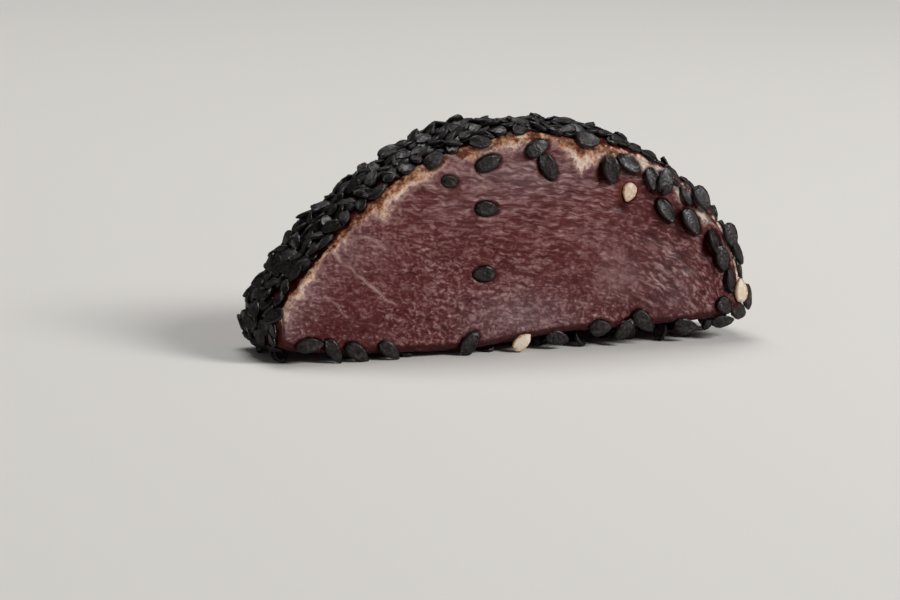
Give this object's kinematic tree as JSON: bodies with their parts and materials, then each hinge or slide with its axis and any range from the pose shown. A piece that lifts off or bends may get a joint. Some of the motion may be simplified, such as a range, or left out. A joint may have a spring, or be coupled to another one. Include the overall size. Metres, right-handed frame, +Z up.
{
  "type": "tuna sashimi slice",
  "caption": "Thick half-moon slice of lightly seared tuna, raw inside, with its outer skin crusted in black sesame seeds, standing on its straight side.",
  "frame": {"origin": "middle of the footprint, on the surface that the slice stands on", "axes": "+X along the slice's long straight side, towards its steeper end; +Y through the slice's thickness, away from the shown cut face; +Z up"},
  "size_m": [0.0616, 0.0148, 0.0259],
  "materials": {
    "tuna_flesh": "moist raw tuna with a fine grain, a thin seared rim and a wet sheen",
    "black_sesame": "satin black hulled seed",
    "white_sesame": "satin cream seed"
  },
  "bodies": {
    "root": {"tuna_slice": "tuna_flesh"}
  },
  "joints": []
}
